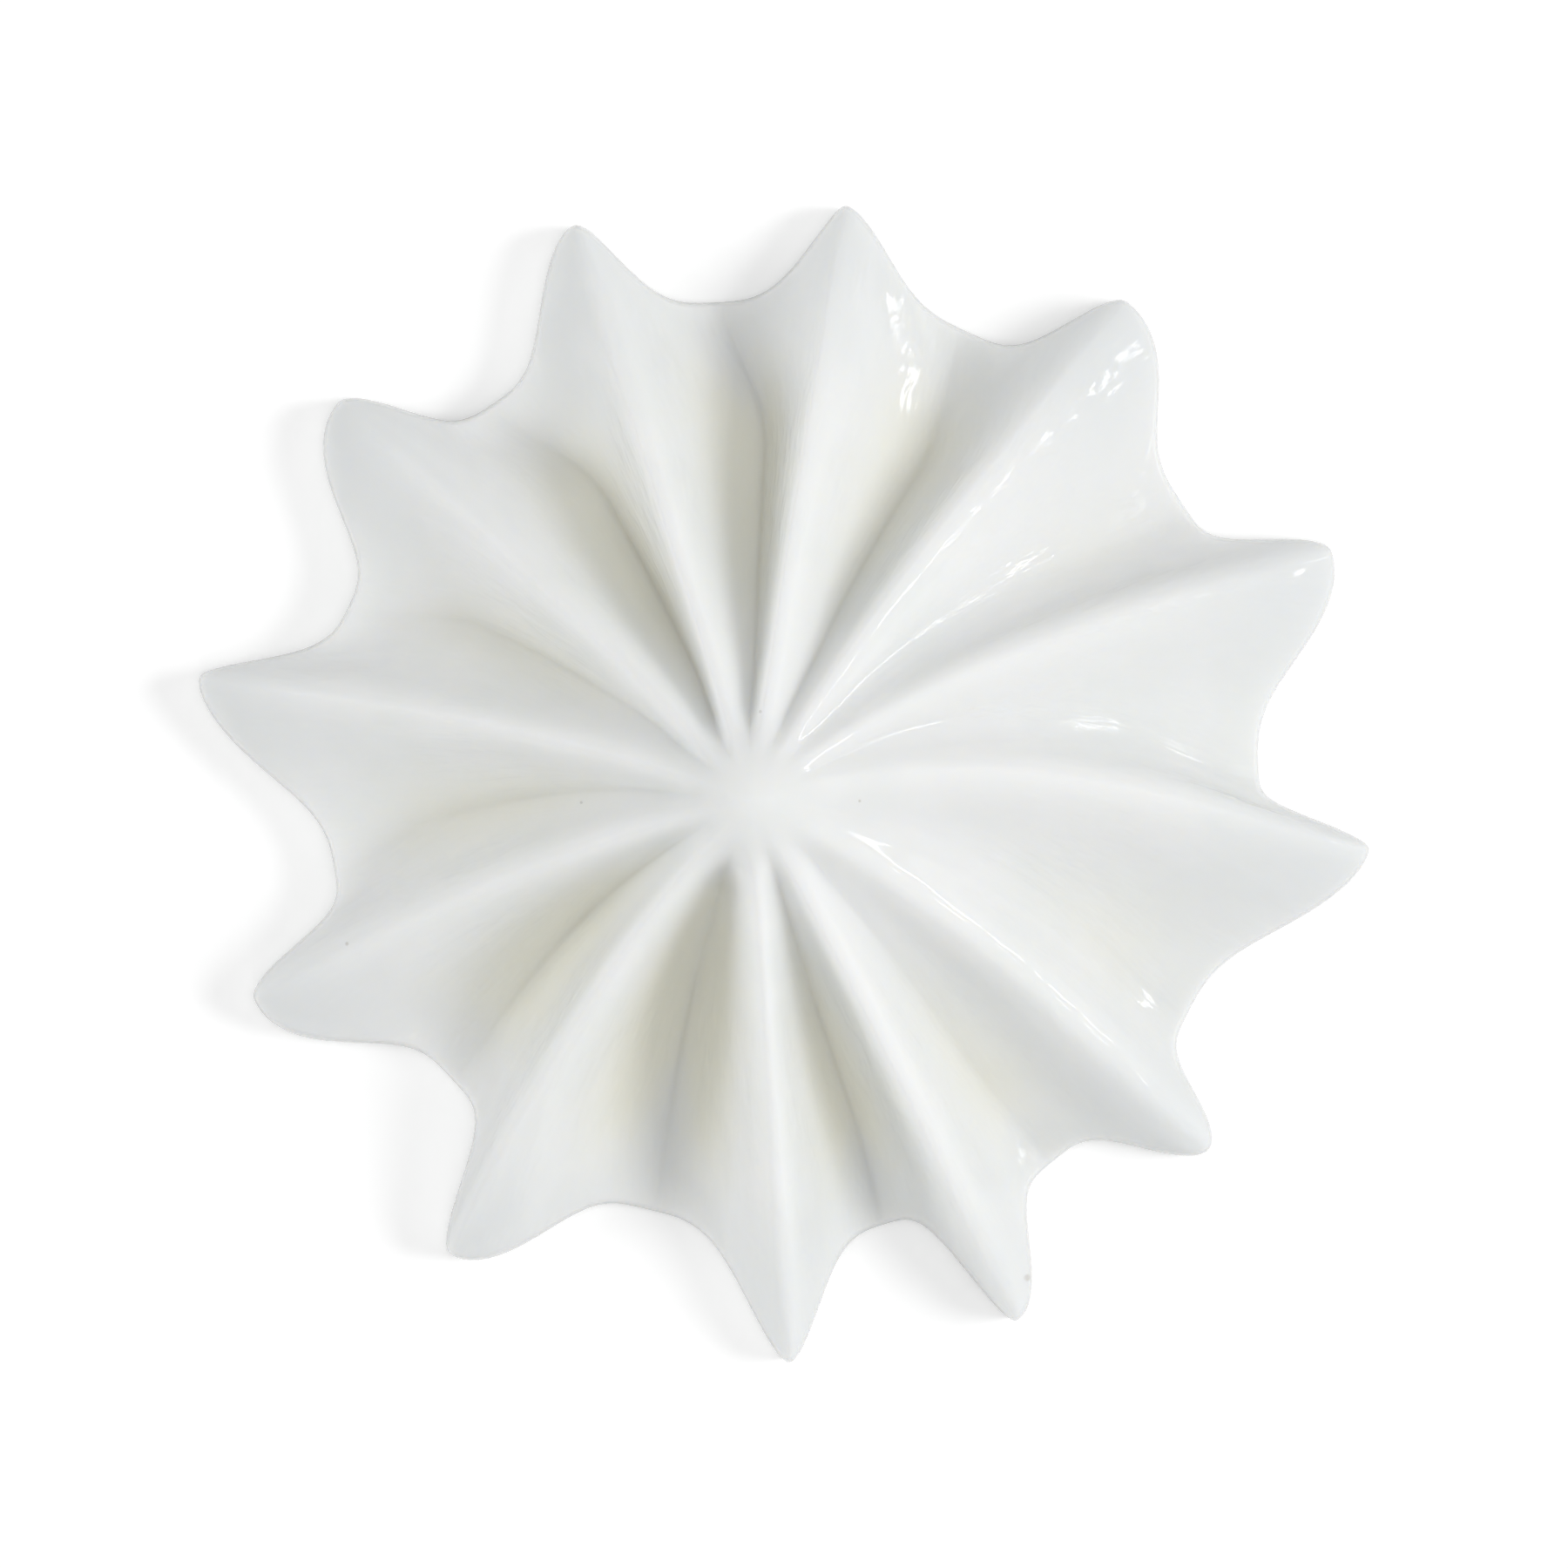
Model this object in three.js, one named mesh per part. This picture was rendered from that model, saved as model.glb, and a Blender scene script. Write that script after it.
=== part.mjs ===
// A meringue star carved in milky white stone: twelve pinched ribs run out from a small rounded
// peak, hollow flutes lie between them, and the ribs end in blunt horns round the rim.
// It lies on its flat back. Millimetres, +Z up, the back on Z = 0.

import * as THREE from "three";

// Heights above the flat back.
const PEAK = 9.5;
const CREST_END = 2.4; // where the crests would reach the rim if the horns didn't dip
const HORN_DIP = 0.8; // how far a horn's end dips below that

// Rim edge and crest.
const EDGE_ROUND = 0.14; // width of the polished rounding along the rim
const EDGE_SPREAD = 2.5; // how many times wider it may run, measured towards the peak
const RIM_WAIST = 0.4; // height of the rim's widest line, as a share of the edge above it
const BACK_INSET = 0.25; // how far the flat back stays inside the widest line
const CREST_SOFT_IN = 0.55; // half width of a rib's rounded crest at the peak
const CREST_SOFT_OUT = 0.7; // the same at the rim
const KNOB = 1.1; // radius of the smooth knob at the peak
const FLUTE_START = 1.6; // length over which a flute sinks in beside the knob
const SHALLOW_SOFT = 0.3; // softens where a flute first drops below its ribs

// Profiles from the peak (0) to the rim (1). A fall of 1 would be straight.
const PEAK_SOFT = 0.04; // rounding of the crest profile at the peak
const PEAK_REACH = 15; // beside the peak the profiles run as if the rim were a circle of this radius
const ROUND_TO = 0.5; // from here on they run to the true rim
const CREST_FALL = 1.3;
const FLOOR_BEND = 1.25;
const HORN_BEND = 14; // the higher, the later a horn dips
const EDGE_START = 0.98; // from here on the face's own fall is carried over the rounded edge

// Cross-section of a flute: 1 would be a V, 2 is close to a round gouge.
const FLUTE_POWER_IN = 1.4;
const FLUTE_POWER_OUT = 1.45;

// Course of ribs and flutes in plan, by the share of the way from peak to rim.
const SWING_AT = 0.25; // where a rib is off its tip's angle by its swing
const SWING_POWER = 1.4;
const CENTRED_TO = 0.3; // from here a flute's floor leaves the middle for its notch
const LEAN_RAMP = 0.3; // length over which a floor's lean comes and goes

// Horn outline: exponent of a pointed horn, and what full bluntness adds to it.
const HORN_CURVE = 2;
const BLUNT_CURVE = 6.5;

// The ribs, anticlockwise. Angles are degrees from +X.
// tip and reach: where the horn ends. swing: how far the rib is turned near the peak.
// blunt: roundness of the horn. right and left: slimness of its clockwise and other flank.
const RIBS = [
  { tip: -4.6, reach: 16.95, swing: 15, blunt: 0.07, right: 1.05, left: 1.25 },
  { tip: 23.2, reach: 17.25, swing: 10, blunt: 0.13, right: 1.0, left: 1.4 },
  { tip: 53.0, reach: 17.05, swing: 4, blunt: 0.17, right: 0.8, left: 2.6 },
  { tip: 81.0, reach: 16.45, swing: 1, blunt: 0.06, right: 1.35, left: 2.2 },
  { tip: 107.2, reach: 16.45, swing: 0, blunt: 0.1, right: 2.5, left: 1.2 },
  { tip: 136.2, reach: 15.7, swing: -3, blunt: 0.12, right: 1.5, left: 0.6 },
  { tip: 167.6, reach: 15.5, swing: -6, blunt: 0.07, right: 2.1, left: 1.0 },
  { tip: 201.9, reach: 14.7, swing: -7, blunt: 0.16, right: 1.65, left: 0.8 },
  { tip: 236.4, reach: 14.95, swing: -8, blunt: 0.18, right: 2.8, left: 1.2 },
  { tip: 273.8, reach: 15.45, swing: 0, blunt: 0.07, right: 2.2, left: 1.75 },
  { tip: 296.9, reach: 16.0, swing: 2, blunt: 0.18, right: 3.5, left: 1.1 },
  { tip: 322.6, reach: 15.75, swing: 8, blunt: 0.17, right: 1.7, left: 1.4 },
];

// The flute that follows each rib.
// notch and depth: angle of its rim notch and distance of that from the peak.
// drop: how steeply it sinks beside the peak. end: height its floor would have at the rim.
// lean: degrees by which its floor runs off the middle halfway out.
const FLUTES = [
  { notch: 2.5, depth: 13.9, drop: 1.25, end: 1.5, lean: 3 },
  { notch: 33.5, depth: 14.3, drop: 1.5, end: 1.4, lean: 0 },
  { notch: 65.5, depth: 14.1, drop: 1.9, end: 1.0, lean: -3.5 },
  { notch: 93.6, depth: 13.65, drop: 2.05, end: 0.7, lean: -6 },
  { notch: 123.5, depth: 12.95, drop: 2.6, end: 1.4, lean: -6.5 },
  { notch: 154.5, depth: 12.25, drop: 2.25, end: 1.8, lean: -5 },
  { notch: 189.5, depth: 11.6, drop: 2.25, end: 1.7, lean: -3 },
  { notch: 223.0, depth: 11.25, drop: 2.6, end: 1.3, lean: -0.5 },
  { notch: 256.5, depth: 11.6, drop: 3.35, end: 0.7, lean: 0 },
  { notch: 287.0, depth: 12.2, drop: 2.05, end: 0.7, lean: 1 },
  { notch: 309.5, depth: 12.9, drop: 1.6, end: 0.9, lean: -1 },
  { notch: 333.5, depth: 13.3, drop: 1.45, end: 1.1, lean: 1 },
];

// Fineness of the faceted surface.
const STEPS_PER_FLANK = 7;
const TOP_RINGS = 20;
const EDGE_RINGS = 2;
const CREST_CROWDING = 1.35; // above 1, lines crowd towards the crests
const RIM_CROWDING = 1.25; // above 1, rings crowd towards the rim

const radians = (degrees) => (degrees * Math.PI) / 180;

function smoothstep(x) {
  const clamped = Math.min(Math.max(x, 0), 1);
  return clamped * clamped * (3 - 2 * clamped);
}

function between(start, end, share) {
  return start + (end - start) * share;
}

// Distance from a crest with the crest itself rounded off, 0 on the crest and 1 at full distance.
function softened(distance, full, soft) {
  return (Math.hypot(distance, soft) - soft) / (Math.hypot(full, soft) - soft);
}

// Share of the way from notch to horn tip that the outline has gained at t (0 notch, 1 tip).
function outlineGain(t, blunt, slim) {
  const away = softened(1 - t, 1, blunt);
  const rise = (1 - away) ** (HORN_CURVE + BLUNT_CURVE * blunt);
  return rise / (rise + slim * away);
}

// One meridian from peak to rim. It belongs to the nearer rib; t is 1 on that rib's crest
// and 0 on the floor of the flute.
function meridian(near, nearTip, far, farTip, flute, slim, t) {
  const gain = outlineGain(t, near.blunt, slim);
  return {
    t,
    gain,
    tip: nearTip,
    swing: near.swing,
    otherTip: farTip,
    otherSwing: far.swing,
    flute,
    rim: between(flute.depth, near.reach, gain),
  };
}

function allMeridians() {
  const list = [];
  RIBS.forEach((rib, i) => {
    const next = RIBS[(i + 1) % RIBS.length];
    const flute = FLUTES[i];
    const nextTip = next.tip < rib.tip ? next.tip + 360 : next.tip;
    for (let k = 0; k < STEPS_PER_FLANK; k += 1) {
      const t = 1 - (k / STEPS_PER_FLANK) ** CREST_CROWDING;
      list.push(meridian(rib, rib.tip, next, nextTip, flute, rib.left, t));
    }
    for (let k = STEPS_PER_FLANK; k > 0; k -= 1) {
      const t = 1 - (k / STEPS_PER_FLANK) ** CREST_CROWDING;
      list.push(meridian(next, nextTip, rib, rib.tip, flute, next.right, t));
    }
  });
  return list;
}

// Angles of the crest and of the flute's floor beside a meridian, u of the way out.
function guideAngles(m, u) {
  const turn = ((1 - u) / (1 - SWING_AT)) ** SWING_POWER;
  const crest = m.tip + m.swing * turn;
  const other = m.otherTip + m.otherSwing * turn;
  const offCentre = m.flute.notch - (m.tip + m.otherTip) / 2;
  const lean = m.flute.lean * smoothstep(u / LEAN_RAMP) * smoothstep((1 - u) / LEAN_RAMP);
  const towardsNotch = smoothstep((u - CENTRED_TO) / (1 - CENTRED_TO));
  const floor = (crest + other) / 2 + offCentre * towardsNotch + lean;
  return { crest, floor };
}

// The point of a meridian at a given radius and height, where it is u of the way out.
function pointOn(m, u, radius, height) {
  const { crest, floor } = guideAngles(m, u);
  const angle = radians(between(floor, crest, m.t));
  return new THREE.Vector3(radius * Math.cos(angle), radius * Math.sin(angle), height);
}

// How much wider the rounded edge is towards the peak than square to the outline.
function edgeSpreads(rim) {
  return rim.map((point, i) => {
    const before = rim[(i + rim.length - 1) % rim.length];
    const after = rim[(i + 1) % rim.length];
    const square = new THREE.Vector3(after.y - before.y, before.x - after.x, 0).normalize();
    return 1 / Math.max(square.dot(point.clone().normalize()), 1 / EDGE_SPREAD);
  });
}

// How far the flute has sunk from the crest profile (0) to the floor profile (1).
function hollowAt(m, u) {
  const { crest, floor } = guideAngles(m, u);
  const radius = u * m.rim;
  const halfWidth = radius * radians(Math.abs(crest - floor));
  const away = softened((1 - m.t) * halfWidth, halfWidth, between(CREST_SOFT_IN, CREST_SOFT_OUT, u));
  const power = between(FLUTE_POWER_IN, FLUTE_POWER_OUT, u);
  return (1 - (1 - away) ** power) * smoothstep((radius - KNOB) / FLUTE_START);
}

// Height of the carved face.
function faceHeight(m, u) {
  const share = between((u * m.rim) / PEAK_REACH, u, smoothstep(u / ROUND_TO));
  const crest = between(CREST_END, PEAK, (1 - softened(share, 1, PEAK_SOFT)) ** CREST_FALL);
  const floor = between(m.flute.end, PEAK, (1 - share ** FLOOR_BEND) ** m.flute.drop);
  const sunk = (crest - floor + Math.hypot(crest - floor, SHALLOW_SOFT)) / 2;
  return crest - hollowAt(m, u) * sunk - HORN_DIP * m.gain * u ** HORN_BEND;
}

function facePoint(m, spread, u) {
  const inset = EDGE_ROUND * spread * u ** HORN_BEND;
  return pointOn(m, u, u * m.rim - inset, faceHeight(m, u));
}

// A point on the rounded edge, turned by angle from its top (0) to the rim's widest line.
function edgePoint(m, spread, angle) {
  const top = faceHeight(m, 1);
  const slope = (top - faceHeight(m, EDGE_START)) / ((1 - EDGE_START) * m.rim);
  const width = EDGE_ROUND * spread;
  const rounded = top + slope * width * Math.sin(angle);
  const height = between(top * RIM_WAIST, rounded, Math.cos(angle));
  return pointOn(m, 1, m.rim - width * (1 - Math.sin(angle)), height);
}

// A point under the widest line, down to the flat back.
function underPoint(m, spread, angle) {
  const inset = BACK_INSET * spread * (1 - Math.cos(angle));
  return pointOn(m, 1, m.rim - inset, faceHeight(m, 1) * RIM_WAIST * (1 - Math.sin(angle)));
}

// All rings from the peak outwards, over the rim and down to the back.
function surfaceRings(meridians, rim) {
  const spreads = edgeSpreads(rim);
  const ring = (pointOf, place) => meridians.map((m, i) => pointOf(m, spreads[i], place));
  const rings = [];
  for (let k = 1; k <= TOP_RINGS; k += 1) {
    rings.push(ring(facePoint, 1 - (1 - k / TOP_RINGS) ** RIM_CROWDING));
  }
  for (let k = 1; k <= EDGE_RINGS; k += 1) {
    rings.push(ring(edgePoint, ((k / EDGE_RINGS) * Math.PI) / 2));
  }
  for (let k = 1; k <= EDGE_RINGS; k += 1) {
    rings.push(ring(underPoint, ((k / EDGE_RINGS) * Math.PI) / 2));
  }
  return rings;
}

function meringueGeometry() {
  const meridians = allMeridians();
  const rim = meridians.map((m) => pointOn(m, 1, m.rim, 0));
  const rings = surfaceRings(meridians, rim);
  const count = meridians.length;
  const points = [new THREE.Vector3(0, 0, PEAK), ...rings.flat(), new THREE.Vector3(0, 0, 0)];
  const at = (ring, column) => 1 + ring * count + (column % count);
  const last = points.length - 1;
  const faces = [];
  for (let c = 0; c < count; c += 1) {
    faces.push(0, at(0, c), at(0, c + 1));
    for (let r = 0; r < rings.length - 1; r += 1) {
      faces.push(at(r, c), at(r + 1, c), at(r + 1, c + 1));
      faces.push(at(r, c), at(r + 1, c + 1), at(r, c + 1));
    }
    faces.push(at(rings.length - 1, c), last, at(rings.length - 1, c + 1));
  }
  const centre = new THREE.Box3().setFromPoints(rim).getCenter(new THREE.Vector3());
  const geometry = new THREE.BufferGeometry().setFromPoints(points);
  geometry.setIndex(faces);
  geometry.translate(-centre.x, -centre.y, 0);
  geometry.computeVertexNormals();
  return geometry;
}

function milkyStone() {
  return new THREE.MeshStandardMaterial({ color: 0xf3f2ee, roughness: 0.18, metalness: 0 });
}

function meringueStar() {
  const mesh = new THREE.Mesh(meringueGeometry(), milkyStone());
  mesh.name = "meringue_star";
  return mesh;
}

const part = new THREE.Group();
part.name = "carved_meringue";
part.add(meringueStar());

export default part;
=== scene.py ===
"""A meringue star carved in milky white stone, lying on its flat back on a white table."""

import math
from collections import namedtuple

import bpy
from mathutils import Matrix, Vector, noise


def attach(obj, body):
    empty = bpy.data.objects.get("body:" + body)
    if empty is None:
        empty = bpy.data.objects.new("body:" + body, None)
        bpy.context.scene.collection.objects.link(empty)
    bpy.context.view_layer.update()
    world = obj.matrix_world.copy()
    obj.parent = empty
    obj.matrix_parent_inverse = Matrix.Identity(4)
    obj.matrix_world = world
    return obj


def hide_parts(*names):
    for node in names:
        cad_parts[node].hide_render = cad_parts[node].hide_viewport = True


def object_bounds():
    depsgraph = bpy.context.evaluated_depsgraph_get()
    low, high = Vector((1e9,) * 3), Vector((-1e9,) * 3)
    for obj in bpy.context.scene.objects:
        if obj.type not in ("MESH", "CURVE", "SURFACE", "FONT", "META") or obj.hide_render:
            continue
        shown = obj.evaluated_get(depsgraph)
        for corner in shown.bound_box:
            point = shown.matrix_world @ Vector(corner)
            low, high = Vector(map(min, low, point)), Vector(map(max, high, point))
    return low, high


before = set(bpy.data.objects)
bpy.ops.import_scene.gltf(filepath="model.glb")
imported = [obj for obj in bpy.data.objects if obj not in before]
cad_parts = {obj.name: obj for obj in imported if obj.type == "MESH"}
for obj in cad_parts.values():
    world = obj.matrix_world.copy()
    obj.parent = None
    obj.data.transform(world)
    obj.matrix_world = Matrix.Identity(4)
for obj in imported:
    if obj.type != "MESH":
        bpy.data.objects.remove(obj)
CAD_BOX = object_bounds()

MM = 0.001

# Heights above the flat back, in millimetres.
PEAK = 9.5
CREST_END = 2.4  # where the crests would reach the rim if the horns didn't dip
HORN_DIP = 0.8  # how far a horn's end dips below that

# Rim edge and crest.
EDGE_ROUND = 0.14  # width of the polished rounding along the rim
EDGE_SPREAD = 2.5  # how many times wider it may run, measured towards the peak
RIM_WAIST = 0.4  # height of the rim's widest line, as a share of the edge above it
BACK_INSET = 0.25  # how far the flat back stays inside the widest line
CREST_SOFT_IN = 0.55  # half width of a rib's rounded crest at the peak
CREST_SOFT_OUT = 0.7  # the same at the rim
KNOB = 1.1  # radius of the smooth knob at the peak
FLUTE_START = 1.6  # length over which a flute sinks in beside the knob
SHALLOW_SOFT = 0.3  # softens where a flute first drops below its ribs

# Profiles from the peak (0) to the rim (1). A fall of 1 would be straight.
PEAK_SOFT = 0.04  # rounding of the crest profile at the peak
PEAK_REACH = 15  # beside the peak the profiles run as if the rim were a circle of this radius
ROUND_TO = 0.5  # from here on they run to the true rim
CREST_FALL = 1.3
FLOOR_BEND = 1.25
HORN_BEND = 14  # the higher, the later a horn dips
EDGE_START = 0.98  # from here on the face's own fall is carried over the rounded edge

# Cross-section of a flute: 1 would be a V, 2 is close to a round gouge.
FLUTE_POWER_IN = 1.4
FLUTE_POWER_OUT = 1.45

# Course of ribs and flutes in plan, by the share of the way from peak to rim.
SWING_AT = 0.25  # where a rib is off its tip's angle by its swing
SWING_POWER = 1.4
CENTRED_TO = 0.3  # from here a flute's floor leaves the middle for its notch
LEAN_RAMP = 0.3  # length over which a floor's lean comes and goes

# Horn outline: exponent of a pointed horn, and what full bluntness adds to it.
HORN_CURVE = 2
BLUNT_CURVE = 6.5

# The ribs, anticlockwise. Angles are degrees from +X.
# tip and reach: where the horn ends. swing: how far the rib is turned near the peak.
# blunt: roundness of the horn. right and left: slimness of its clockwise and other flank.
Rib = namedtuple("Rib", "tip reach swing blunt right left")
RIBS = [
    Rib(tip=-4.6, reach=16.95, swing=15, blunt=0.07, right=1.05, left=1.25),
    Rib(tip=23.2, reach=17.25, swing=10, blunt=0.13, right=1.0, left=1.4),
    Rib(tip=53.0, reach=17.05, swing=4, blunt=0.17, right=0.8, left=2.6),
    Rib(tip=81.0, reach=16.45, swing=1, blunt=0.06, right=1.35, left=2.2),
    Rib(tip=107.2, reach=16.45, swing=0, blunt=0.1, right=2.5, left=1.2),
    Rib(tip=136.2, reach=15.7, swing=-3, blunt=0.12, right=1.5, left=0.6),
    Rib(tip=167.6, reach=15.5, swing=-6, blunt=0.07, right=2.1, left=1.0),
    Rib(tip=201.9, reach=14.7, swing=-7, blunt=0.16, right=1.65, left=0.8),
    Rib(tip=236.4, reach=14.95, swing=-8, blunt=0.18, right=2.8, left=1.2),
    Rib(tip=273.8, reach=15.45, swing=0, blunt=0.07, right=2.2, left=1.75),
    Rib(tip=296.9, reach=16.0, swing=2, blunt=0.18, right=3.5, left=1.1),
    Rib(tip=322.6, reach=15.75, swing=8, blunt=0.17, right=1.7, left=1.4),
]

# The flute that follows each rib.
# notch and depth: angle of its rim notch and distance of that from the peak.
# drop: how steeply it sinks beside the peak. end: height its floor would have at the rim.
# lean: degrees by which its floor runs off the middle halfway out.
Flute = namedtuple("Flute", "notch depth drop end lean")
FLUTES = [
    Flute(notch=2.5, depth=13.9, drop=1.25, end=1.5, lean=3),
    Flute(notch=33.5, depth=14.3, drop=1.5, end=1.4, lean=0),
    Flute(notch=65.5, depth=14.1, drop=1.9, end=1.0, lean=-3.5),
    Flute(notch=93.6, depth=13.65, drop=2.05, end=0.7, lean=-6),
    Flute(notch=123.5, depth=12.95, drop=2.6, end=1.4, lean=-6.5),
    Flute(notch=154.5, depth=12.25, drop=2.25, end=1.8, lean=-5),
    Flute(notch=189.5, depth=11.6, drop=2.25, end=1.7, lean=-3),
    Flute(notch=223.0, depth=11.25, drop=2.6, end=1.3, lean=-0.5),
    Flute(notch=256.5, depth=11.6, drop=3.35, end=0.7, lean=0),
    Flute(notch=287.0, depth=12.2, drop=2.05, end=0.7, lean=1),
    Flute(notch=309.5, depth=12.9, drop=1.6, end=0.9, lean=-1),
    Flute(notch=333.5, depth=13.3, drop=1.45, end=1.1, lean=1),
]

HORN_FROM = 0.6  # the horns are painted greyer and cooler from here on, as shade where light passes through the thin stone

# Fineness of the mesh.
STEPS_PER_FLANK = 21
TOP_RINGS = 130
EDGE_RINGS = 6
CREST_CROWDING = 1.35  # above 1, lines crowd towards the crests
RIM_CROWDING = 1.25  # above 1, rings crowd towards the rim

# Unevenness left by carving and polishing by hand.
WAVE = 0.05  # height of the waves in the surface, in millimetres
WAVE_LENGTH = 3.2  # their usual length
RIPPLE_SHARE = 0.5  # height of the finer waves on them, as a share of WAVE
RIPPLE_FINENESS = 2.7  # how many times shorter those are
RIPPLE_SHIFT = Vector((9, 4, 2))  # keeps them apart from the long waves
WAVE_FREE_PEAK = 0.2  # the waves grow over this share of the way from peak to rim
WAVE_FREE_RIM = 0.12  # and die out over this share before the rim


def smoothstep(x):
    x = min(max(x, 0.0), 1.0)
    return x * x * (3 - 2 * x)


def between(start, end, share):
    return start + (end - start) * share


def softened(distance, full, soft):
    """Distance from a crest with the crest rounded off: 0 on it, 1 at full distance."""
    return (math.hypot(distance, soft) - soft) / (math.hypot(full, soft) - soft)


def outline_gain(t, blunt, slim):
    """Share of the way from notch to horn tip that the outline has gained at t."""
    away = softened(1 - t, 1, blunt)
    rise = (1 - away) ** (HORN_CURVE + BLUNT_CURVE * blunt)
    return rise / (rise + slim * away)


class Meridian:
    """One line from peak to rim. t is 1 on the nearer rib's crest, 0 on the flute's floor."""

    def __init__(self, near, near_tip, far, far_tip, flute, slim, t):
        self.t = t
        self.gain = outline_gain(t, near.blunt, slim)
        self.tip, self.swing = near_tip, near.swing
        self.other_tip, self.other_swing = far_tip, far.swing
        self.flute = flute
        self.rim = between(flute.depth, near.reach, self.gain)

    def guides(self, u):
        """Angles of the crest and of the flute's floor, u of the way out."""
        turn = ((1 - u) / (1 - SWING_AT)) ** SWING_POWER
        crest = self.tip + self.swing * turn
        other = self.other_tip + self.other_swing * turn
        off_centre = self.flute.notch - (self.tip + self.other_tip) / 2
        lean = self.flute.lean * smoothstep(u / LEAN_RAMP) * smoothstep((1 - u) / LEAN_RAMP)
        towards_notch = smoothstep((u - CENTRED_TO) / (1 - CENTRED_TO))
        floor = (crest + other) / 2 + off_centre * towards_notch + lean
        return crest, floor

    def angle(self, u):
        crest, floor = self.guides(u)
        return math.radians(between(floor, crest, self.t))


def all_meridians():
    lines = []
    for i, rib in enumerate(RIBS):
        following = RIBS[(i + 1) % len(RIBS)]
        next_tip = following.tip + (360 if following.tip < rib.tip else 0)
        for k in range(STEPS_PER_FLANK):
            t = 1 - (k / STEPS_PER_FLANK) ** CREST_CROWDING
            lines.append(Meridian(rib, rib.tip, following, next_tip, FLUTES[i], rib.left, t))
        for k in range(STEPS_PER_FLANK, 0, -1):
            t = 1 - (k / STEPS_PER_FLANK) ** CREST_CROWDING
            lines.append(Meridian(following, next_tip, rib, rib.tip, FLUTES[i], following.right, t))
    return lines


def outwards(m, u, radius):
    """The point of a meridian at a distance from the peak, in plan."""
    return radius * Vector((math.cos(m.angle(u)), math.sin(m.angle(u))))


def edge_spreads(lines):
    """How much wider the rounded edge is towards the peak than square to the outline."""
    rim = [outwards(m, 1, m.rim) for m in lines]
    spreads = []
    for i, point in enumerate(rim):
        along = (rim[(i + 1) % len(rim)] - rim[i - 1]).normalized()
        square = Vector((along.y, -along.x)).dot(point.normalized())
        spreads.append(1 / max(square, 1 / EDGE_SPREAD))
    return spreads


def hollow_at(m, u, radius):
    """How far the flute has sunk in from crest profile (0) to floor profile (1)."""
    crest, floor = m.guides(u)
    half_width = radius * math.radians(abs(crest - floor))
    soft = between(CREST_SOFT_IN, CREST_SOFT_OUT, u)
    away = softened((1 - m.t) * half_width, half_width, soft)
    power = between(FLUTE_POWER_IN, FLUTE_POWER_OUT, u)
    return (1 - (1 - away) ** power) * smoothstep((radius - KNOB) / FLUTE_START)


def wave_at(point, u):
    """Slow waves in the surface, none at the peak and at the rim."""
    place = Vector((point.x, point.y, 0)) / WAVE_LENGTH
    fade = smoothstep(u / WAVE_FREE_PEAK) * smoothstep((1 - u) / WAVE_FREE_RIM)
    ripple = noise.noise(place * RIPPLE_FINENESS + RIPPLE_SHIFT)
    return WAVE * fade * (noise.noise(place) + RIPPLE_SHARE * ripple)


def face_at(m, u):
    """Height of the carved face, and how deep the flute lies below the crests there."""
    share = between(u * m.rim / PEAK_REACH, u, smoothstep(u / ROUND_TO))
    crest = between(CREST_END, PEAK, (1 - softened(share, 1, PEAK_SOFT)) ** CREST_FALL)
    floor = between(m.flute.end, PEAK, (1 - share ** FLOOR_BEND) ** m.flute.drop)
    sunk = (crest - floor + math.hypot(crest - floor, SHALLOW_SOFT)) / 2
    depth = hollow_at(m, u, u * m.rim) * sunk
    return crest - depth - HORN_DIP * m.gain * u ** HORN_BEND, depth


def ring_places(lines):
    """Rings of (point, depth, out, horn) from the peak out, over the rim and down to the back."""
    spreads = edge_spreads(lines)
    for k in range(1, TOP_RINGS + 1):
        u = 1 - (1 - k / TOP_RINGS) ** RIM_CROWDING
        ring = []
        for m, spread in zip(lines, spreads):
            height, depth = face_at(m, u)
            point = outwards(m, u, u * m.rim - EDGE_ROUND * spread * u ** HORN_BEND).to_3d()
            point.z = height + wave_at(point, u)
            ring.append((point, depth, u, m.gain * smoothstep((u - HORN_FROM) / (1 - HORN_FROM))))
        yield ring
    edges = []
    for m, spread in zip(lines, spreads):
        top = face_at(m, 1)[0]
        slope = (top - face_at(m, EDGE_START)[0]) / ((1 - EDGE_START) * m.rim)
        edges.append((m, spread, top, slope * EDGE_ROUND * spread))
    for k in range(1, EDGE_RINGS + 1):
        turn = k / EDGE_RINGS * math.pi / 2
        ring = []
        for m, spread, top, fall in edges:
            point = outwards(m, 1, m.rim - EDGE_ROUND * spread * (1 - math.sin(turn))).to_3d()
            point.z = between(top * RIM_WAIST, top + fall * math.sin(turn), math.cos(turn))
            ring.append((point, 0.0, 1.0, m.gain))
        yield ring
    for k in range(1, EDGE_RINGS + 1):
        turn = k / EDGE_RINGS * math.pi / 2
        ring = []
        for m, spread, top, fall in edges:
            point = outwards(m, 1, m.rim - BACK_INSET * spread * (1 - math.cos(turn))).to_3d()
            point.z = top * RIM_WAIST * (1 - math.sin(turn))
            ring.append((point, 0.0, 1.0, m.gain))
        yield ring


def star_faces(columns, rings):
    """Faces of the closed star: a fan at the peak, rings of quads, a fan on the back."""
    faces = [(0, 1 + c, 1 + (c + 1) % columns) for c in range(columns)]
    for r in range(rings - 1):
        inner, outer = 1 + r * columns, 1 + (r + 1) * columns
        for c in range(columns):
            d = (c + 1) % columns
            faces.append((inner + c, outer + c, outer + d, inner + d))
    last = 1 + (rings - 1) * columns
    middle = last + columns
    faces.extend((last + c, middle, last + (c + 1) % columns) for c in range(columns))
    return faces


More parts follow.
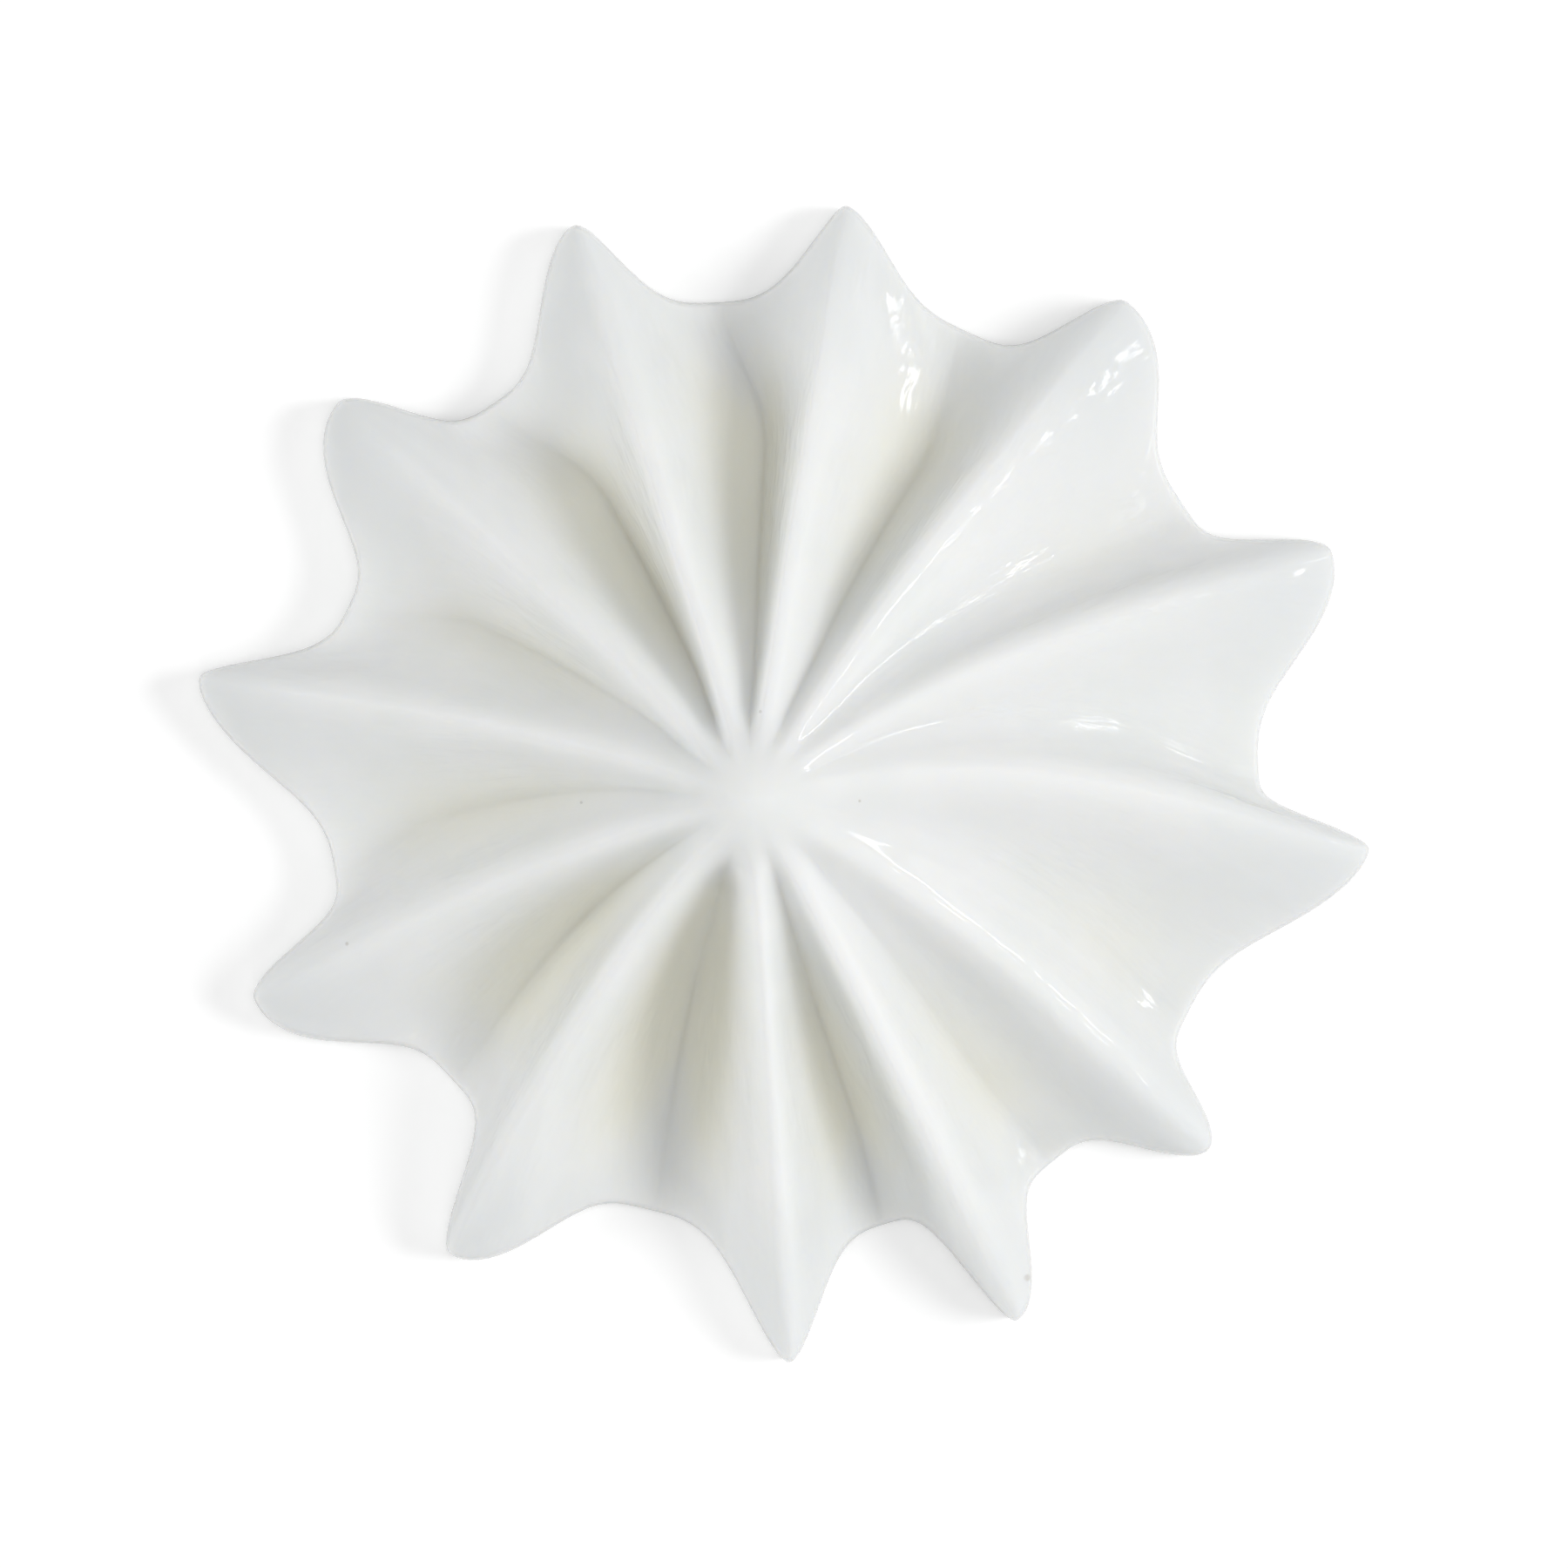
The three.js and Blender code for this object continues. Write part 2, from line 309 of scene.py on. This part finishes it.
def fitted_in_box(points):
    """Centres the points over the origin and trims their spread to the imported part's box."""
    low, high = CAD_BOX
    for axis in (0, 1):
        values = [p[axis] for p in points]
        middle = (min(values) + max(values)) / 2
        spread = (max(values) - min(values)) * MM
        trim = min(1, (high[axis] - low[axis]) / spread)
        for p in points:
            p[axis] = (p[axis] - middle) * trim
    return points


def carved_star():
    lines = all_meridians()
    places = [(Vector((0, 0, PEAK)), 0.0, 0.0, 0.0)]
    rings = 0
    for ring in ring_places(lines):
        places.extend(ring)
        rings += 1
    places.append((Vector((0, 0, 0)), 0.0, 0.0, 0.0))
    strokes = []
    for index, place in enumerate(places):
        angle = lines[(index - 1) % len(lines)].angle(1)
        strokes.append(Vector((math.cos(angle), math.sin(angle), place[0].to_2d().length)))
    points = fitted_in_box([place[0] for place in places])

    mesh = bpy.data.meshes.new("carved_star")
    mesh.from_pydata([p * MM for p in points], [], star_faces(len(lines), rings))
    for column, name in ((1, "hollow"), (2, "out"), (3, "horn")):
        mask = mesh.attributes.new(name, "FLOAT", "POINT")
        mask.data.foreach_set("value", [place[column] for place in places])
    stroke = mesh.attributes.new("stroke", "FLOAT_VECTOR", "POINT")
    stroke.data.foreach_set("vector", [value for s in strokes for value in s])
    mesh.shade_smooth()
    mesh.update()
    star = bpy.data.objects.new("carved_star", mesh)
    bpy.context.scene.collection.objects.link(star)
    return star


def noise_node(nodes, links, place, scale, detail):
    node = nodes.new("ShaderNodeTexNoise")
    node.inputs["Scale"].default_value = scale
    node.inputs["Detail"].default_value = detail
    links.new(place, node.inputs["Vector"])
    return node.outputs["Fac"]


def ranged(nodes, links, value, low, high, to_low=0.0, to_high=1.0):
    node = nodes.new("ShaderNodeMapRange")
    node.interpolation_type = "SMOOTHSTEP"
    ends = (("From Min", low), ("From Max", high), ("To Min", to_low), ("To Max", to_high))
    for name, number in ends:
        node.inputs[name].default_value = number
    links.new(value, node.inputs["Value"])
    return node.outputs["Result"]


def mixed(nodes, links, share, first, second):
    """Colour mix of first and second, each a socket or a colour."""
    node = nodes.new("ShaderNodeMix")
    node.data_type = "RGBA"
    links.new(share, node.inputs["Factor"])
    for value, name in ((first, "A"), (second, "B")):
        socket = next(s for s in node.inputs if s.name == name and s.type == "RGBA")
        if isinstance(value, tuple):
            socket.default_value = (*value, 1)
        else:
            links.new(value, socket)
    return next(s for s in node.outputs if s.type == "RGBA")


def combined(nodes, links, operation, first, second):
    node = nodes.new("ShaderNodeMath")
    node.operation = operation
    for value, socket in zip((first, second), node.inputs):
        if isinstance(value, (int, float)):
            socket.default_value = value
        else:
            links.new(value, socket)
    return node.outputs["Value"]


def attribute(nodes, name, kind="Fac"):
    node = nodes.new("ShaderNodeAttribute")
    node.attribute_name = name
    return node.outputs[kind]


# The stone: milky white, with painted shade: warmer and greyer deep in the flutes, and greyer on
# the horns and where it is thin.
MILK_WHITE = (0.905, 0.918, 0.912)
CLOUD_WHITE = (0.88, 0.898, 0.888)
HORN_SHADE_GREY = (0.83, 0.85, 0.855)
HOLLOW_SHADE_WARM = (0.88, 0.873, 0.79)
THIN_SHADE_GREY = (0.84, 0.85, 0.84)
SOAK = 0.6  # how far light spreads inside the stone, in millimetres
THIN_SHADE_HEIGHTS = (0.6, 1.7)  # the painted shade of thin stone fades between these heights over the back
HOLLOW_SHADE_DEPTHS = (0.3, 2.0)  # between these depths of a flute, in millimetres, the warm painted shade comes in
HOLLOW_SHADE_ENDS = (0.75, 1.0)  # it fades out over this share of the way from peak to rim
CLOUD_SIZE = 4.0  # in millimetres
CLOUD_DETAIL = 3.0
CLOUD_EDGES = (0.4, 0.65)  # the noise values where a cloud begins and is full
POLISH = (0.07, 0.16)  # roughness between the strokes and in them
REFRACTION = 1.5
SOAK_COLOUR = (1.0, 0.95, 0.85)  # red light spreads furthest

# Marks of the polishing wheel, which run outwards.
STROKES_ROUND = 26  # noise cells for each radian round the peak
STROKE_DETAIL = 2.0
STROKE_LENGTH = 1.3  # in millimetres
STROKE_DEPTH = 0.014  # in millimetres, and the depth of the pits as well
STROKE_RARITY = (0.35, 0.7)  # only where the noise passes these is there a stroke
STROKES_FROM = (0.35, 0.6)  # they fade in over this share of the way from peak to rim

# Pits: place from the middle of the outline's box, and radius, in millimetres.
PITS = [
    (-0.64, 1.95, 0.06),
    (2.04, -0.46, 0.05),
    (-5.5, -0.5, 0.05),
    (-11.9, -4.35, 0.07),
    (6.66, -13.5, 0.14),
]
PIT_CORE = 0.3  # share of the radius that is full depth
# the pits are painted darker, as the shade inside them
PIT_SHADE_GREY = (0.70, 0.69, 0.66)


def pit_mask(nodes, links, place):
    """1 in the middle of a pit, 0 outside all of them."""
    mask = 0.0
    for x, y, radius in PITS:
        flatten = nodes.new("ShaderNodeVectorMath")
        flatten.operation = "MULTIPLY"
        flatten.inputs[1].default_value = (1, 1, 0)
        links.new(place, flatten.inputs[0])
        away = nodes.new("ShaderNodeVectorMath")
        away.operation = "DISTANCE"
        away.inputs[1].default_value = (x * MM, y * MM, 0)
        links.new(flatten.outputs["Vector"], away.inputs[0])
        spot = ranged(nodes, links, away.outputs["Value"], radius * MM, PIT_CORE * radius * MM)
        mask = combined(nodes, links, "MAXIMUM", spot, mask)
    return mask


def stroke_noise(nodes, links):
    """Noise drawn out along the strokes."""
    stretch = nodes.new("ShaderNodeMapping")
    stretch.inputs["Scale"].default_value = (STROKES_ROUND, STROKES_ROUND, 1 / STROKE_LENGTH)
    links.new(attribute(nodes, "stroke", "Vector"), stretch.inputs["Vector"])
    return noise_node(nodes, links, stretch.outputs["Vector"], 1.0, STROKE_DETAIL)


def milky_stone():
    stone = bpy.data.materials.new("milky_stone")
    stone.use_nodes = True
    nodes, links = stone.node_tree.nodes, stone.node_tree.links
    shader = nodes["Principled BSDF"]
    shader.inputs["IOR"].default_value = REFRACTION
    shader.inputs["Subsurface Weight"].default_value = 1.0
    shader.inputs["Subsurface Radius"].default_value = SOAK_COLOUR
    shader.inputs["Subsurface Scale"].default_value = SOAK * MM

    place = nodes.new("ShaderNodeTexCoord").outputs["Object"]
    height = nodes.new("ShaderNodeSeparateXYZ")
    links.new(place, height.inputs["Vector"])
    thin = ranged(nodes, links, height.outputs["Z"], THIN_SHADE_HEIGHTS[0] * MM, THIN_SHADE_HEIGHTS[1] * MM, 1.0, 0.0)
    out = attribute(nodes, "out")
    inside = ranged(nodes, links, out, *HOLLOW_SHADE_ENDS, 1.0, 0.0)
    hollow = ranged(nodes, links, attribute(nodes, "hollow"), *HOLLOW_SHADE_DEPTHS)
    hollow = combined(nodes, links, "MULTIPLY", hollow, inside)
    horn = attribute(nodes, "horn")
    clouds = noise_node(nodes, links, place, 1 / (CLOUD_SIZE * MM), CLOUD_DETAIL)
    cloud = ranged(nodes, links, clouds, *CLOUD_EDGES)
    pits = pit_mask(nodes, links, place)
    colour = mixed(nodes, links, cloud, MILK_WHITE, CLOUD_WHITE)
    # painted shade: the flute floors are coloured warmer and greyer by their depth
    colour = mixed(nodes, links, hollow, colour, HOLLOW_SHADE_WARM)
    # painted shade: the horns greyer and cooler, for light lost through the thin stone
    colour = mixed(nodes, links, horn, colour, HORN_SHADE_GREY)
    # painted shade: thin stone low over the back is greyer, for light passing through it
    colour = mixed(nodes, links, thin, colour, THIN_SHADE_GREY)
    # painted shade in the pits
    colour = mixed(nodes, links, pits, colour, PIT_SHADE_GREY)
    links.new(colour, shader.inputs["Base Color"])

    strokes = ranged(nodes, links, stroke_noise(nodes, links), *STROKE_RARITY)
    strokes = combined(nodes, links, "MULTIPLY", strokes, ranged(nodes, links, out, *STROKES_FROM))
    links.new(ranged(nodes, links, strokes, 0.0, 1.0, *POLISH), shader.inputs["Roughness"])
    sunk = combined(nodes, links, "SUBTRACT", strokes, pits)
    bump = nodes.new("ShaderNodeBump")
    bump.inputs["Distance"].default_value = STROKE_DEPTH * MM
    links.new(sunk, bump.inputs["Height"])
    links.new(bump.outputs["Normal"], shader.inputs["Normal"])
    return stone


# The table: a lit white panel, too dim to light the star.
TABLE_REACH = 1.0  # from the middle to each side, in metres
TABLE_WHITE = (0.93, 0.93, 0.93)
TABLE_ROUGHNESS = 0.9
TABLE_GLOW = 0.22


def white_table():
    mesh = bpy.data.meshes.new("table")
    sides = ((-1, -1), (1, -1), (1, 1), (-1, 1))
    corners = [(x * TABLE_REACH, y * TABLE_REACH, 0) for x, y in sides]
    mesh.from_pydata(corners, [], [(0, 1, 2, 3)])
    table = bpy.data.objects.new("table", mesh)
    bpy.context.scene.collection.objects.link(table)
    paper = bpy.data.materials.new("table_white")
    paper.use_nodes = True
    shader = paper.node_tree.nodes["Principled BSDF"]
    shader.inputs["Base Color"].default_value = (*TABLE_WHITE, 1)
    shader.inputs["Roughness"].default_value = TABLE_ROUGHNESS
    shader.inputs["Specular IOR Level"].default_value = 0.0
    shader.inputs["Emission Color"].default_value = (1, 1, 1, 1)
    nodes, links = paper.node_tree.nodes, paper.node_tree.links
    seen = nodes.new("ShaderNodeLightPath").outputs["Is Camera Ray"]
    glow = combined(nodes, links, "MULTIPLY", seen, TABLE_GLOW)
    links.new(glow, shader.inputs["Emission Strength"])
    mesh.materials.append(paper)


# Lamps, placed by their direction as seen from the star, in degrees.
# Distance and sizes are in metres, power in watts.
LAMP_DISTANCE = 0.6
SKY_LIGHT = 0.345
SOFTBOX_SIZE = 0.25
SOFTBOXES = [  # name, azimuth, elevation, power
    ("right_high", 0, 42, 1.3),
    ("left_low", 180, 18, 0.9),
    ("front_high", 270, 42, 0.2),
    ("back_high", 70, 42, 0.12),
    ("overhead", 0, 89, 0.7),
]
GLINTS = [  # small lamps that the polish mirrors: name, azimuth, elevation, width, height, power
    ("glint", 15, 15, 0.022, 0.18, 0.09),
    ("flute_glint", 6, 25, 0.06, 0.05, 0.06),
    ("crest_glint_left", 172, 42, 0.06, 0.06, 0.02),
    ("crest_glint_right", 5, 45, 0.06, 0.06, 0.02),
    ("crest_glint_front", 272, 42, 0.06, 0.06, 0.02),
]


def softbox(name, azimuth, elevation, size, power):
    """A soft round light, which the polish doesn't mirror."""
    data = bpy.data.lights.new(name, "AREA")
    data.shape = "DISK"
    data.size = size
    data.energy = power
    lamp = bpy.data.objects.new(name, data)
    bpy.context.scene.collection.objects.link(lamp)
    a, e = math.radians(azimuth), math.radians(elevation)
    towards = Vector((math.cos(a) * math.cos(e), math.sin(a) * math.cos(e), math.sin(e)))
    lamp.location = LAMP_DISTANCE * towards
    lamp.rotation_euler = (-lamp.location).to_track_quat("-Z", "Y").to_euler()
    lamp.visible_glossy = False
    return lamp


def strip_light(name, azimuth, elevation, width, height, power):
    """A small rectangular light, which the polish mirrors."""
    lamp = softbox(name, azimuth, elevation, width, power)
    lamp.data.shape = "RECTANGLE"
    lamp.data.size_y = height
    lamp.visible_glossy = True


def studio():
    world = bpy.data.worlds.new("studio")
    bpy.context.scene.world = world
    world.use_nodes = True
    sky = world.node_tree.nodes["Background"]
    sky.inputs["Color"].default_value = (1, 1, 1, 1)
    sky.inputs["Strength"].default_value = SKY_LIGHT
    for name, azimuth, elevation, power in SOFTBOXES:
        softbox(name, azimuth, elevation, SOFTBOX_SIZE, power)
    for name, azimuth, elevation, width, height, power in GLINTS:
        strip_light(name, azimuth, elevation, width, height, power)


# The camera looks straight down. All in metres but for the sensor, which is in millimetres.
CAMERA_HEIGHT = 0.45
VIEW_WIDTH = 0.043  # what the picture spans at the table
SENSOR_WIDTH = 36
NEAREST = 0.01


def camera():
    data = bpy.data.cameras.new("camera")
    eye = bpy.data.objects.new("camera", data)
    bpy.context.scene.collection.objects.link(eye)
    eye.location = (0, 0, CAMERA_HEIGHT)
    data.sensor_width = SENSOR_WIDTH
    data.lens = SENSOR_WIDTH * CAMERA_HEIGHT / VIEW_WIDTH
    data.clip_start = NEAREST
    bpy.context.scene.camera = eye


star = carved_star()
star.data.materials.append(milky_stone())
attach(star, "root")
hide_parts("meringue_star")
white_table()
studio()
camera()
bpy.context.scene.view_settings.view_transform = "Standard"
